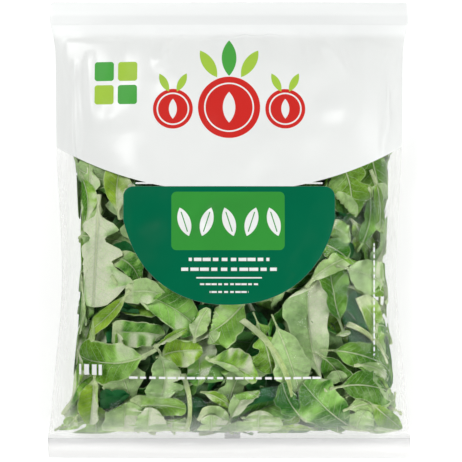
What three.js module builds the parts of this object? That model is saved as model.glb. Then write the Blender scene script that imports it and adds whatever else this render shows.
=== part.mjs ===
// A pillow bag of salad leaves, lying on its back with its printed front up.
// Millimetres. X runs across the bag, Y from the bottom seal to the top seal, and Z up from
// the table that the bag lies on. The origin is on the table, under the middle of the bag.
import * as THREE from "three";
import { mergeVertices } from "three/addons/utils/BufferGeometryUtils.js";

// Driving dimensions
const flatWidth = 250; // the film tube laid flat, and so the width of the bottom seal
const bagLength = 315; // from the edge of one seal to the edge of the other
const topSeal = 16; // width of the seal strip at the top
const bottomSeal = 14; // and at the bottom
const sealThickness = 0.9; // both walls of film, thickened to make a robust solid
const topSealDroop = 5; // how far the free edge of each strip hangs below its inner edge
const bottomSealDroop = 6;
const fullHeight = 61; // highest point of the front, over the thickest part of the leaves

// The bag's shape along its length. Each station is a share of the pouch's length, 0 at the
// bottom seal and 1 at the top one, and a value in millimetres. A filled bag draws its sides
// in where it is thickest, so the half width is least where the front is highest.
const halfWidths = [
  [0, flatWidth / 2], [0.05, 122.8], [0.11, 121.4], [0.165, 119.8], [0.22, 118.2],
  [0.28, 116.4], [0.37, 114.9], [0.45, 115.1], [0.57, 116.7], [0.68, 118.5],
  [0.8, 119.2], [0.93, 119.7], [0.97, 121.2], [1, 123.4],
];
// Height of the front above the side folds, along the middle of the bag
const fronts = [
  [0, 0], [0.035, 15], [0.09, 28], [0.19, 37.5], [0.36, 41], [0.5, 39.5],
  [0.64, 34.5], [0.78, 28.5], [0.9, 20], [0.965, 9.5], [1, 0],
];
// Height of the side folds above the table
const sideFolds = [
  [0, 15], [0.2, 18.5], [0.45, 20], [0.75, 18], [1, 14],
];
const thickestPlace = 0.4; // the station where the front is highest

// The back lies flat on the table inside a rounded rectangle, and lifts to the fold round it.
const restHalfAcross = 0.66; // share of the half width
const restMiddle = 0.51; // share of the length
const restHalfAlong = 0.365;
const restRoundness = 3.4; // 2 would be an ellipse, more is squarer
const restLift = 1.38; // how far out, against that outline, the back has reached the fold

// How the cross-section arches: 2 would be a parabola, more is boxier.
const archPower = 2.8;
const archShoulder = 0.9;

// Lumps where the film lies on leaves: crossing waves that don't repeat over the bag
const lumpDepth = 1.8;
const lumpSpacing = 58;
const lumpWaves = [
  { across: 0.92, along: 0.31, start: 0.6, sway: 1, height: 0.45 },
  { across: -0.37, along: 1.03, start: 2.1, sway: -1, height: 0.45 },
  { across: 1.61, along: -0.96, start: 4.0, sway: 2, height: 0.27 },
  { across: 0.75, along: 1.87, start: 5.2, sway: -2, height: 0.23 },
];
const lumpSway = { height: 0.9, pace: 0.43, start: 1.1 }; // so that no crest runs straight
const lumpsFrom = 4; // distance from a seal where the lumps begin
const lumpsFull = 45; // and where they have their full depth

// Gathers that fan from each seal
const gatherDepth = 1.5;
const gatherReach = 13;
const gatherSpacing = 31;
const gatherWaves = [
  { pace: 1, start: 0.8, height: 0.77 },
  { pace: 1.63, start: 2.9, height: 0.46 },
];
const reliefInset = 0.3; // share of the half width over which the relief fades at a side fold
const backGathers = 0.5; // how deep the gathers are in the back, against the front
const backClear = 3; // height above the table at which they are in full

// The free edge of each seal strip waves a little.
const stripWave = 0.9;
const stripWaves = 1.5; // how many waves there are across the bag
const stripStart = { top: 0.7, bottom: 2.4 };

const cellsAcross = 40;
const cellsAlong = 50;
const rowsInSeal = 3; // of the rows along, how many cross each seal strip
const rowEase = 0.035; // how much closer together the rows stand near the seals
const columnEase = 0.18; // and the columns near the side folds

const material = new THREE.MeshStandardMaterial({
  name: "clear_film",
  color: new THREE.Color(0.36, 0.52, 0.22),
  roughness: 0.25,
  metalness: 0,
});

// A smooth curve through a list of stations, read at one place
function along(stations, place) {
  const last = stations.length - 1;
  const slope = (i) => {
    const a = stations[Math.max(i - 1, 0)];
    const b = stations[Math.min(i + 1, last)];
    return (b[1] - a[1]) / (b[0] - a[0]);
  };
  let i = 0;
  while (i < last - 1 && place > stations[i + 1][0]) {
    i += 1;
  }
  const step = stations[i + 1][0] - stations[i][0];
  const t = THREE.MathUtils.clamp((place - stations[i][0]) / step, 0, 1);
  const rise = t * t * (3 - 2 * t);
  const leave = t * (1 - t) * (1 - t) * step * slope(i);
  const arrive = t * t * (1 - t) * step * slope(i + 1);
  return stations[i][1] * (1 - rise) + stations[i + 1][1] * rise + leave - arrive;
}

// Rises smoothly from 0 to 1 between two values
const smooth = (from, to, x) => THREE.MathUtils.smoothstep(x, from, to);

// Where the pouch between the seals begins and ends
const pouchFrom = -bagLength / 2 + bottomSeal;
const pouchTo = bagLength / 2 - topSeal;
const pouchLength = pouchTo - pouchFrom;

// Height of the lumps at a point
function lumps(x, y) {
  const k = (2 * Math.PI) / lumpSpacing;
  const sway = lumpSway.height * Math.sin(k * lumpSway.pace * (x - y) + lumpSway.start);
  let height = 0;
  for (const wave of lumpWaves) {
    const phase = k * (wave.across * x + wave.along * y) + wave.start + wave.sway * sway;
    height += wave.height * Math.sin(phase);
  }
  return lumpDepth * height;
}

// Height of the gathers at a point, deepest a little way in from a seal
function gathers(x, fromSeal) {
  const reach = fromSeal / gatherReach;
  const envelope = reach * Math.exp(1 - reach);
  const k = (2 * Math.PI) / gatherSpacing;
  let height = 0;
  for (const wave of gatherWaves) {
    height += wave.height * Math.sin(wave.pace * k * x + wave.start);
  }
  return gatherDepth * envelope * height;
}

// The height of a seal strip's middle, drooping from the pouch to its free edge
function stripHeight(x, y) {
  const atTop = y > 0;
  const out = atTop ? (y - pouchTo) / topSeal : (pouchFrom - y) / bottomSeal;
  const fold = along(sideFolds, atTop ? 1 : 0);
  const droop = (atTop ? topSealDroop : bottomSealDroop) * out * out;
  const phase = 2 * Math.PI * stripWaves * (x / flatWidth);
  const wave = stripWave * Math.sin(phase + (atTop ? stripStart.top : stripStart.bottom));
  return fold - droop + wave * out;
}

// The front of the pouch: an arch over the side folds, with lumps and gathers
function frontHeight(across, x, share, fromSeal, y) {
  const arch = (1 - Math.abs(across) ** archPower) ** archShoulder;
  const relief = lumps(x, y) * smooth(lumpsFrom, lumpsFull, fromSeal) + gathers(x, fromSeal);
  const fade = smooth(0, reliefInset, 1 - Math.abs(across));
  return along(sideFolds, share) + sealThickness / 2 + along(fronts, share) * arch + relief * fade;
}

// The back of the pouch: flat on the table, then lifting to the fold
function backHeight(across, x, share, fromSeal) {
  const restAcross = Math.abs(across) / restHalfAcross;
  const restAlong = Math.abs(share - restMiddle) / restHalfAlong;
  const half = restRoundness / 2;
  const reach = Math.hypot(restAcross ** half, restAlong ** half) ** (1 / half);
  const fold = along(sideFolds, share) - sealThickness / 2;
  const lie = fold * smooth(1, restLift, reach);
  const fade = smooth(0, reliefInset, 1 - Math.abs(across)) * smooth(0, backClear, lie);
  return Math.max(0, lie + backGathers * gathers(x, fromSeal) * fade);
}

// One point of the bag: across and side run from -1 to 1, side being 1 on the front
function filmPoint(across, y, side) {
  const share = THREE.MathUtils.clamp((y - pouchFrom) / pouchLength, 0, 1);
  const x = across * along(halfWidths, share);
  if (y < pouchFrom || y > pouchTo) {
    return new THREE.Vector3(x, y, stripHeight(x, y) + (side * sealThickness) / 2);
  }
  const fromSeal = Math.min(y - pouchFrom, pouchTo - y);
  const z = side > 0
    ? frontHeight(across, x, share, fromSeal, y)
    : backHeight(across, x, share, fromSeal);
  return new THREE.Vector3(x, y, z);
}

// Where a row of cells lies along the bag
function rowPlace(row) {
  const pouchRows = cellsAlong - 2 * rowsInSeal;
  if (row <= rowsInSeal) {
    return pouchFrom - bottomSeal * (1 - row / rowsInSeal);
  }
  if (row >= cellsAlong - rowsInSeal) {
    return pouchTo + topSeal * ((row - cellsAlong + rowsInSeal) / rowsInSeal);
  }
  const t = (row - rowsInSeal) / pouchRows;
  return pouchFrom + pouchLength * (t - rowEase * Math.sin(2 * Math.PI * t));
}

// Where a column of cells lies across the bag, from -1 to 1
const columnPlace = (u) => u - columnEase * (u ** 3 - u);

// A box with cells on its front and back, drawn out to the bag's shape
function bagGeometry() {
  const blank = new THREE.BoxGeometry(2, 2, 2, cellsAcross, cellsAlong, 1);
  const place = blank.getAttribute("position");
  for (let i = 0; i < place.count; i += 1) {
    const row = Math.round(((place.getY(i) + 1) / 2) * cellsAlong);
    const point = filmPoint(columnPlace(place.getX(i)), rowPlace(row), place.getZ(i));
    place.setXYZ(i, point.x, point.y, point.z);
  }
  blank.deleteAttribute("normal");
  blank.deleteAttribute("uv");
  return mergeVertices(blank, 1e-3);
}

// Scales what stands above the fold, so that the front's highest point has the full height
function toFullHeight(geometry) {
  geometry.computeBoundingBox();
  const from = along(sideFolds, thickestPlace) + sealThickness / 2;
  const stretch = (fullHeight - from) / (geometry.boundingBox.max.z - from);
  const place = geometry.getAttribute("position");
  for (let i = 0; i < place.count; i += 1) {
    const z = place.getZ(i);
    if (z > from) {
      place.setZ(i, from + (z - from) * stretch);
    }
  }
  return geometry;
}

const bag = new THREE.Mesh(toFullHeight(bagGeometry()), material);
bag.name = "bag";

const group = new THREE.Group();
group.add(bag);

export default group;
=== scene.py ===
# A sealed clear pillow bag of rocket leaves, lying on its back, seen from straight above.
# Metres. X across the bag, Y from the bottom seal to the top seal, Z up from the table.
import math
import bpy
import numpy as np
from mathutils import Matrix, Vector
from mathutils.bvhtree import BVHTree


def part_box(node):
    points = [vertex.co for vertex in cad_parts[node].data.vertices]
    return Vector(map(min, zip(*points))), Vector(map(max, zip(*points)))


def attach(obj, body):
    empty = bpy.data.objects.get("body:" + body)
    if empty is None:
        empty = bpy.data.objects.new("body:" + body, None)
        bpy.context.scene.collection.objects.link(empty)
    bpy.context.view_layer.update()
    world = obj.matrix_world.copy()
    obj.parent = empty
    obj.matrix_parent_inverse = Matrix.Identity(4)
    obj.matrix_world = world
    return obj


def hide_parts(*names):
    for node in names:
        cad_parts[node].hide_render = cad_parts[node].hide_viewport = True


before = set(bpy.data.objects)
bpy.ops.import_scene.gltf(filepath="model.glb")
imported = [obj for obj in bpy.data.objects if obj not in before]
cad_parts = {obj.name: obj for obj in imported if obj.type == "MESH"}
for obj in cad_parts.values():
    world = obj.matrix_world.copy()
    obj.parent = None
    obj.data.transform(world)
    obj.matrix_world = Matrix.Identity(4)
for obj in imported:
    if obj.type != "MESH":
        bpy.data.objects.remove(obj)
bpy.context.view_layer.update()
bagLow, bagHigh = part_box("bag")
mm = 0.001

# The seal strips, and where the pouch between them begins and ends
seals = {"top": 16 * mm, "bottom": 14 * mm}
pouchFrom = bagLow.y + seals["bottom"]
pouchTo = bagHigh.y - seals["top"]


def clearSelection():
    bpy.ops.object.select_all(action="DESELECT")


def makeActive(piece):
    clearSelection()
    piece.select_set(True)
    bpy.context.view_layer.objects.active = piece


def applyModifier(piece, kind, name, **values):
    makeActive(piece)
    modifier = piece.modifiers.new(name, kind)
    for key, value in values.items():
        setattr(modifier, key, value)
    bpy.ops.object.modifier_apply(modifier=name)


# Runs one mesh operator on all of a piece.
def inEditMode(piece, operator, **values):
    makeActive(piece)
    bpy.ops.object.mode_set(mode="EDIT")
    bpy.ops.mesh.select_all(action="SELECT")
    operator(**values)
    bpy.ops.object.mode_set(mode="OBJECT")


def addObject(name, data):
    piece = bpy.data.objects.new(name, data)
    bpy.context.scene.collection.objects.link(piece)
    return piece


def readPoints(mesh):
    points = np.zeros(len(mesh.vertices) * 3)
    mesh.vertices.foreach_get("co", points)
    return points.reshape(-1, 3)


def writePoints(mesh, points):
    mesh.vertices.foreach_set("co", points.astype(np.float32).ravel())
    mesh.update()


def readNormals(mesh):
    normals = np.zeros(len(mesh.vertices) * 3)
    mesh.vertices.foreach_get("normal", normals)
    return normals.reshape(-1, 3)


def softStep(low, high, value):
    t = np.clip((value - low) / (high - low), 0, 1)
    return t * t * (3 - 2 * t)


# Smooth noise between -1 and 1 over the bag, from a seeded lattice of random heights.
def waveNoise(x, y, spacingX, spacingY, seed):
    cells = 64
    lattice = np.random.default_rng(seed).uniform(-1, 1, (cells, cells))
    gx, gy = x / spacingX + 31.3, y / spacingY + 31.7
    ix, iy = np.floor(gx).astype(int), np.floor(gy).astype(int)
    fx, fy = gx - ix, gy - iy
    fx, fy = fx * fx * (3 - 2 * fx), fy * fy * (3 - 2 * fy)
    ix, iy = ix % cells, iy % cells
    jx, jy = (ix + 1) % cells, (iy + 1) % cells
    low = lattice[iy, ix] * (1 - fx) + lattice[iy, jx] * fx
    high = lattice[jy, ix] * (1 - fx) + lattice[jy, jx] * fx
    return low * (1 - fy) + high * fy


# Film shell

filmLook = {
    "subdivision": 2,
    "weld": 0.00002,
    "foldDepth": 1.5 * mm,  # lengthwise crinkles beside the seals and down both sides
    "foldSpacing": 9 * mm,
    "foldLength": 60 * mm,
    "crinkleDepth": 0.5 * mm,
    "sealReach": 40 * mm,  # how far in from a seal its crinkles run
    "sinkShare": 0.55,  # how far the front sinks towards leaves that lie lower
    "sinkMost": 6 * mm,
    "seamHalf": 7 * mm,
    "seamLift": 0.45 * mm,
}

# Single creases of the front: from x y, to x y, half width and height in mm.
filmCreases = [
    (-122, 139, -107, 114, 4, 4.5), (-119, 133, -114, 96, 3.5, 3.6),
    (-107, 132, -103, 46, 4.5, 4.2), (-98, 128, -92, 74, 8, 2.2), (120, 138, 105, 116, 4.5, 4.0),
    (108, 130, 105, 56, 4.5, 3.4), (117, 122, 113, 68, 4, 2.6), (-60, 137, 60, 135, 4, -1.8),
    (-30, 134, -50, 112, 8, 2.0), (62, 134, 80, 106, 8, 2.0), (-112, 30, -110, -60, 4, 1.6),
    (113, 20, 110, -70, 4, 1.6), (-20, 128, 34, 133, 4, 1.8),
]


# The film starts as a welded, smoothed copy of the CAD solid.
def filmBlank():
    blank = addObject("film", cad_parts["bag"].data.copy())
    blank.data.materials.clear()
    inEditMode(blank, bpy.ops.mesh.remove_doubles, threshold=filmLook["weld"])
    inEditMode(blank, bpy.ops.mesh.tris_convert_to_quads)
    level = filmLook["subdivision"]
    applyModifier(blank, "SUBSURF", "smooth", levels=level, render_levels=level)
    return blank


# Height maps lie on an even grid over the bag.
mapStep = 1.5 * mm
mapX = np.arange(bagLow.x, bagHigh.x + mapStep, mapStep)
mapY = np.arange(bagLow.y, bagHigh.y + mapStep, mapStep)
farOff = 0.2  # where the rays that measure a height start
edgeHeight = 0.015  # beside the bag, where there is nothing to measure


# The heights of the front and the back of a closed shell, measured by rays from far off.
def heightMaps(piece):
    tree = BVHTree.FromObject(piece, bpy.context.evaluated_depsgraph_get())
    front = np.zeros((len(mapY), len(mapX)))
    back = np.zeros_like(front)
    for row, y in enumerate(mapY):
        for column, x in enumerate(mapX):
            down = tree.ray_cast(Vector((x, y, farOff)), Vector((0, 0, -1)))[0]
            up = tree.ray_cast(Vector((x, y, -farOff)), Vector((0, 0, 1)))[0]
            front[row, column] = down.z if down else edgeHeight
            back[row, column] = up.z if up else edgeHeight
    return front, back


def readMap(heights, x, y):
    gx = np.clip((x - mapX[0]) / mapStep, 0, len(mapX) - 1.001)
    gy = np.clip((y - mapY[0]) / mapStep, 0, len(mapY) - 1.001)
    ix, iy = gx.astype(int), gy.astype(int)
    fx, fy = gx - ix, gy - iy
    low = heights[iy, ix] * (1 - fx) + heights[iy, ix + 1] * fx
    high = heights[iy + 1, ix] * (1 - fx) + heights[iy + 1, ix + 1] * fx
    return low * (1 - fy) + high * fy


# A box blur run three times, which is close to a round one.
def blurMap(heights, radius):
    cells = max(1, int(round(radius / mapStep)))
    result = heights
    for _ in range(3):
        for axis in (0, 1):
            pad = [(0, 0), (0, 0)]
            pad[axis] = (cells + 1, cells)
            total = np.cumsum(np.pad(result, pad, mode="edge"), axis=axis)
            size = result.shape[axis]
            high = np.take(total, np.arange(2 * cells + 1, 2 * cells + 1 + size), axis=axis)
            low = np.take(total, np.arange(0, size), axis=axis)
            result = (high - low) / (2 * cells + 1)
    return result


# Leaves

# Half width of each kind along the leaf, as shares of its length and of its widest place.
leafOutlines = {
    "broad": [(0, .05), (.12, .045), (.19, .10), (.27, .46), (.4, .78), (.55, .86), (.7, 1),
              (.83, .95), (.93, .74), (.98, .52), (1, .34)],
    "lobed": [(0, .05), (.15, .045), (.2, .1), (.26, .42), (.31, .5), (.36, .24), (.41, .2),
              (.48, .6), (.53, .66), (.58, .42), (.63, .5), (.74, .98), (.84, .97), (.93, .74),
              (.98, .5), (1, .32)],
    "oval": [(0, .07), (.08, .06), (.15, .2), (.28, .66), (.48, 1), (.66, .97), (.82, .74),
             (.92, .56), (.98, .36), (1, .22)],
    "cut": [(0, .62), (.03, .7), (.25, .98), (.5, 1), (.75, .82), (.95, .62), (1, .5)],
    "stem": [(0, 1), (.4, .86), (.8, .7), (1, .45)],
}
leafBuild = {
    "grid": (28, 12),  # rows and columns of cells
    "frontGrid": (36, 14),  # for those listed for the front
    "ribSpan": 0.9 * mm,  # how far apart the columns beside the midrib stand
    "thickest": 3.0 * mm,  # the petiole at its foot
    "bladeThickness": 0.35 * mm,
    "petioleEnd": 0.2,
    "wobble": 0.2,  # how uneven the edge is, as a share of the width
    "notchShare": 0.6,
}
leafKinds = {
    "broad": {"length": (58, 88), "width": (28, 42), "share": .08},
    "lobed": {"length": (66, 98), "width": (26, 38), "share": .38},
    "oval": {"length": (44, 66), "width": (22, 32), "share": .26},
    "cut": {"length": (26, 44), "width": (20, 32), "share": .2},
    "stem": {"length": (45, 85), "width": (3, 4.2), "share": .08},
}


# A smooth line through stations of (place, value).
def alongStations(stations, place):
    at = np.array([s[0] for s in stations])
    value = np.array([s[1] for s in stations])
    slope = np.gradient(value, at)
    i = np.clip(np.searchsorted(at, place, side="right") - 1, 0, len(at) - 2)
    step = at[i + 1] - at[i]
    t = np.clip((place - at[i]) / step, 0, 1)
    rise = t * t * (3 - 2 * t)
    leave = t * (1 - t) ** 2 * step * slope[i]
    arrive = t * t * (1 - t) * step * slope[i + 1]
    return value[i] * (1 - rise) + value[i + 1] * rise + leave - arrive


# An uneven line: straight runs between corners at random places and heights.
def jaggedLine(place, corners, rng):
    at = np.concatenate([[0], np.sort(rng.uniform(0, 1, corners)), [1]])
    return np.interp(place, at, rng.uniform(-1, 1, corners + 2))


# How much wider or narrower a leaf's edge is than its outline, each side by itself.
def edgeShape(place, rng, calm):
    line = 0.75 * jaggedLine(place, 7, rng) + 0.4 * jaggedLine(place, 19, rng)
    width = 1 + leafBuild["wobble"] * (1 - calm) * line * softStep(.2, .35, place)
    if rng.uniform() < leafBuild["notchShare"] * (1 - calm):
        notch = np.abs(place - rng.uniform(.3, .75)) / rng.uniform(.03, .06)
        width = width - rng.uniform(.2, .55) * np.exp(-notch ** 1.5)
    return width


# One leaf laid flat along +Y, as a closed solid: a grid drawn out to the outline and thickened,
# most at the petiole and the midrib.
def modelLeaf(kind, length, width, seed, size, calm=0.0):
    rows, columns = size
    rng = np.random.default_rng(seed)
    clearSelection()
    bpy.ops.mesh.primitive_grid_add(x_subdivisions=columns, y_subdivisions=rows, size=2)
    blank = bpy.context.active_object
    points = readPoints(blank.data)
    across, place = points[:, 0], (points[:, 1] + 1) / 2
    reach = np.round(np.abs(across) * columns / 2)  # which column, counted from the midrib

    half = np.maximum(alongStations(leafOutlines[kind], place), 0.02) * width / 2
    if kind != "stem":
        left, right = edgeShape(place, rng, calm), edgeShape(place, rng, calm)
        half = half * np.where(across < 0, left, right)
    inner = np.minimum(leafBuild["ribSpan"] * reach, half * reach * 0.33)
    spread = np.clip((reach - 2) / (columns / 2 - 2), 0, 1)
    second = np.minimum(leafBuild["ribSpan"] * 2, half * 0.66)
    distance = np.where(reach <= 2, inner, second + (half - second) * spread)
    tip = distance ** 2 / max(width / 2, 1e-6) * 0.75 * softStep(.75, 1, place)
    flat = np.stack([np.sign(across) * distance, place * length - tip, across * 0], axis=1)
    writePoints(blank.data, flat)

    edgeShare = np.clip(distance / half, 0, 1)
    rib = 0.8 * (1 - place) ** 0.8 * np.exp(-(distance / (1.1 * mm)) ** 2)
    petiole = 1 - softStep(leafBuild["petioleEnd"] * 0.7, leafBuild["petioleEnd"] * 1.5, place)
    if kind in ("cut", "stem"):
        petiole = np.full_like(place, 1.0 if kind == "stem" else 0.0)
    rounded = np.sqrt(np.clip(1 - 0.94 * edgeShare ** 2, 0, 1))
    blade = leafBuild["bladeThickness"] / leafBuild["thickest"]
    weight = np.clip((blade + rib * 0.45) * (1 - petiole) + petiole * rounded, 0, 1)
    group = blank.vertex_groups.new(name="thickness")
    for index, value in enumerate(weight):
        group.add([index], float(value), "REPLACE")
    applyModifier(blank, "SOLIDIFY", "thickness", thickness=leafBuild["thickest"], offset=0,
                  vertex_group="thickness", thickness_vertex_group=0.02)

    solid = readPoints(blank.data)
    faces = np.zeros(len(blank.data.loops), int)
    blank.data.loops.foreach_get("vertex_index", faces)
    model = {
        "kind": kind, "length": length, "width": width, "grid": (rows + 1, columns + 1),
        "flat": flat, "offset": solid[:, 2].copy(), "faces": faces.reshape(-1, 4),
        "across": across.copy(), "place": place.copy(), "under": (solid[:, 2] < 0) * 1.0,
    }
    bpy.data.objects.remove(blank)
    return model


# How a leaf curls, in shares of its size; lying on others takes some of it out again.
leafForm = {
    "fold": (0.15, 1.0),  # how steeply each half rises from the midrib, in radians
    "curl": (-0.13, 0.2),  # lengthwise bow against the length
    "twist": (-0.4, 0.4),
    "ripple": (0.04, 0.12),  # height of the edge ripple against the width
    "bend": (-0.16, 0.16),  # sideways sweep against the length
    "buckle": (0.04, 0.13),  # height of the blade's own lumps against the width
    "overShare": 0.55,  # share of leaves with a part folded over
    "overLift": 2.2 * mm,
    "creases": 4,  # most sharp creases in a leaf
    "creaseSlope": (0.15, 0.55),
    "creaseTone": 0.6,  # how much paler or darker the part beyond a crease is
    "halfShare": 0.6,  # share of leaves with one half paler than the other
    "halfTone": 0.5,
    "slopeLightAndShade": 3.0,  # painted light and shade: how much paler a leaf is painted where it tilts up towards the key light, and darker where it tilts away
    # the key light's side, towards which a tilted leaf is painted paler
    "keyLightSide": (-0.6, 0.5, 0.62),
}


# Folds the part of a leaf beyond a slanting line back over the rest.
def foldOver(x, y, model, rng):
    lift = np.zeros_like(x)
    if model["kind"] == "stem" or rng.uniform() > leafForm["overShare"]:
        return x, y, lift
    side = rng.choice([-1, 1])
    slant = rng.uniform(-0.4, 1.35)
    normal = np.array([side * math.cos(slant), math.sin(slant)])
    reach = rng.uniform(0.16, 0.34) * model["width"] * normal[0] * side
    reach = reach + rng.uniform(0.05, 0.24) * model["length"] * max(normal[1], 0)
    middle = model["length"] * 0.12
    beyond = x * normal[0] + (y - middle) * normal[1] - reach
    over = np.maximum(beyond, 0)
    turned = rng.uniform(1.5, 1.9)
    lift = leafForm["overLift"] * softStep(0, 5 * mm, over) + over * 0.12
    return x - over * turned * normal[0], y - over * turned * normal[1], lift


# Sharp creases: beyond each of a few straight lines a leaf tilts and its tone changes.
def creaseLeaf(x, y, model, rng):
    height, tone = np.zeros_like(x), np.zeros_like(x)
    if model["kind"] == "stem":
        return height, tone
    for _ in range(rng.integers(2, leafForm["creases"] + 1)):
        turn = rng.uniform(0, 2 * math.pi)
        cos, sin = math.cos(turn), math.sin(turn)
        span = abs(cos) * model["width"] + abs(sin) * model["length"]
        beyond = x * cos + (y - model["length"] * 0.55) * sin - rng.uniform(-.3, .3) * span
        slope = rng.uniform(*leafForm["creaseSlope"]) * rng.choice([-1, 1])
        height = height + slope * np.maximum(beyond, 0)
        change = rng.uniform(-1, 1) * leafForm["creaseTone"]
        tone = tone + change * softStep(-1 * mm, 1 * mm, beyond)
    if rng.uniform() < leafForm["halfShare"]:
        tone = tone + rng.choice([-1, 1]) * leafForm["halfTone"] * softStep(-mm, mm, x)
    # the creased leaf is levelled again
    plane = np.stack([x, y, np.ones_like(x)], axis=1)
    height = height - plane @ np.linalg.lstsq(plane, height, rcond=None)[0]
    return height, tone - tone.mean()


# Which way a grid of points faces at each of them, not of unit length.
def facingOf(points, grid):
    surface = points.reshape(*grid, 3)
    return np.cross(np.gradient(surface, axis=1), np.gradient(surface, axis=0)).reshape(-1, 3)


# Painted light and shade: crumpled leaves are painted paler where they tilt towards the key light
# and deeper green where they tilt away from it.
def paintSlopeLightAndShade(x, y, rise, grid):
    cross = facingOf(np.stack([x, y, rise], axis=1), grid)
    upwards = np.where(cross[:, 2] < 0, -1, 1) / np.maximum(np.linalg.norm(cross, axis=1), 1e-12)
    facing = (cross @ np.array(leafForm["keyLightSide"])) * upwards
    return leafForm["slopeLightAndShade"] * (facing - np.median(facing))


# Where the points of a curled leaf lie sideways and along, how high and how pale they are.
def curlLeaf(model, rng):
    keys = ("curl", "twist", "ripple", "bend", "buckle")
    pick = {key: rng.uniform(*leafForm[key]) for key in keys}
    place, flat = model["place"], model["flat"]
    x, y = flat[:, 0], flat[:, 1]
    leftFold, rightFold = rng.uniform(*leafForm["fold"], 2) * rng.choice([-0.4, 1, 1])
    fold = np.where(x < 0, leftFold, rightFold) * np.sin(np.pi * np.clip(place, .05, 1)) ** 0.5
    height = np.abs(x) * np.sin(fold)
    sideways = x * np.cos(fold)
    centred = (place - 0.5) * 2
    height = height + pick["curl"] * model["length"] * centred ** 2
    height = height + pick["twist"] * x * (place - 0.3)
    edge = np.abs(model["across"]) ** 1.6
    waves = np.sin(2 * np.pi * (place * rng.uniform(1.6, 3.4) + rng.uniform()) + x * 40)
    second = np.sin(2 * np.pi * (place * rng.uniform(4, 6) + rng.uniform()) - x * 60)
    ripple = pick["ripple"] * edge * (waves + 0.35 * second)
    shift = rng.uniform(0, 1)
    lumps = waveNoise(x + shift, y + shift, 13 * mm, 17 * mm, 21)
    blade = softStep(.15, .35, place) * (model["kind"] != "stem")
    height = height + model["width"] * blade * (ripple + pick["buckle"] * lumps)
    creased, tone = creaseLeaf(x, y, model, rng)
    height = height + creased
    sideways = sideways + pick["bend"] * model["length"] * centred ** 2 * np.sign(pick["bend"])
    sideways, along, lift = foldOver(sideways, y - model["length"] / 2, model, rng)
    return sideways, along, height, lift, tone


# The pile

pile = {
    "count": 290,
    "bed": (8, 9),  # the first leaves lie on an uneven grid of this many, so that none is bare
    "seed": 8,
    "leftMargin": 13.5 * mm,  # the clear margin between the leaves and the side folds
    "rightMargin": 7.5 * mm,
    "sealMargin": 3.5 * mm,
    "topMargin": 16 * mm,
    "squeeze": 14 * mm,  # leaves that would cross the margin are crumpled into this width
    "sag": 0.5,
    "spacing": 1.1 * mm,
    "filmGap": 1.2 * mm,
}


# Values near or past a limit are drawn in smoothly, so that all stay within it.
def softLimit(value, limit, squeeze):
    start = limit - squeeze
    over = np.maximum(value - start, 0)
    return np.minimum(value, start) + squeeze * np.tanh(over / squeeze) * (over > 0)


# The film's half width at a height on the bag, read from the row of the CAD mesh there.
def sideEdges(points):
    rows = np.linspace(bagLow.y, bagHigh.y, 80)
    left, right = [], []
    for y in rows:
        near = points[np.abs(points[:, 1] - y) < 4 * mm]
        left.append(near[:, 0].min())
        right.append(near[:, 0].max())
    return rows, np.array(left), np.array(right)


def keepInside(x, y, edges):
    rows, left, right = edges
    low = pouchFrom + pile["sealMargin"]
    high = pouchTo - pile["topMargin"]
    y = -softLimit(-y, -low, pile["squeeze"])
    y = softLimit(y, high, pile["squeeze"])
    corner = 1 - 0.8 * softStep(-112 * mm, -134 * mm, y)
    leftLimit = np.interp(y, rows, left) + pile["leftMargin"] * corner
    rightLimit = np.interp(y, rows, right) - pile["rightMargin"] * corner
    x = softLimit(x, rightLimit, pile["squeeze"])
    x = -softLimit(-x, -leftLimit, pile["squeeze"])
    return x, y


def turnAndPlace(x, y, heading, centre):
    # a heading of 0 points the tip along +X
    cos, sin = math.cos(heading - math.pi / 2), math.sin(heading - math.pi / 2)
    return x * cos - y * sin + centre[0], x * sin + y * cos + centre[1]


# Lays one leaf on what is there already, lets it sag, and raises the running height map.
def dropLeaf(model, heights, edges, rng, heading, centre, sag, flip):
    x, y, rise, lift, tone = curlLeaf(model, rng)
    x, y = turnAndPlace(x, y, heading, centre)
    x, y = keepInside(x, y, edges)
    # painted light and shade, from how each part of the leaf tilts towards the key light
    tone = tone + paintSlopeLightAndShade(x, y, rise, model["grid"])
    ground = readMap(heights, x, y)
    base = np.percentile(ground - rise, 92)
    z = rise + base
    level = np.maximum(readMap(blurMap(heights, 5 * mm), x, y), ground)
    z = z - sag * np.maximum(z - level, 0)
    grid = model["grid"]
    for _ in range(2):
        z = np.maximum(z, ground + 0.4 * mm).reshape(grid)
        padded = np.pad(z, 1, mode="edge")
        z = (padded[1:-1, 1:-1] * 2 + padded[:-2, 1:-1] + padded[2:, 1:-1]
             + padded[1:-1, :-2] + padded[1:-1, 2:]).ravel() / 6
    z = z + lift
    raiseMap(heights, x.reshape(grid), y.reshape(grid), z.reshape(grid))
    return {"model": model, "x": x, "y": y, "z": z, "flip": flip, "tone": tone, "paintedGapShade": 0.0}


# A grid of values with so many steps in place of each.
def finer(values, steps):
    rows, columns = values.shape
    r = np.linspace(0, rows - 1, (rows - 1) * steps + 1)
    c = np.linspace(0, columns - 1, (columns - 1) * steps + 1)
    i = np.minimum(r.astype(int), rows - 2)
    j = np.minimum(c.astype(int), columns - 2)
    fr, fc = (r - i)[:, None], (c - j)[None, :]
    a, b = values[np.ix_(i, j)], values[np.ix_(i, j + 1)]
    d, e = values[np.ix_(i + 1, j)], values[np.ix_(i + 1, j + 1)]
    return (a * (1 - fc) + b * fc) * (1 - fr) + (d * (1 - fc) + e * fc) * fr


def raiseMap(heights, x, y, z):
    x, y, z = (finer(v, 3).ravel() for v in (x, y, z))
    column = np.clip(np.round((x - mapX[0]) / mapStep).astype(int), 0, len(mapX) - 1)
    row = np.clip(np.round((y - mapY[0]) / mapStep).astype(int), 0, len(mapY) - 1)
    np.maximum.at(heights, (row, column), z + pile["spacing"])
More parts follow.
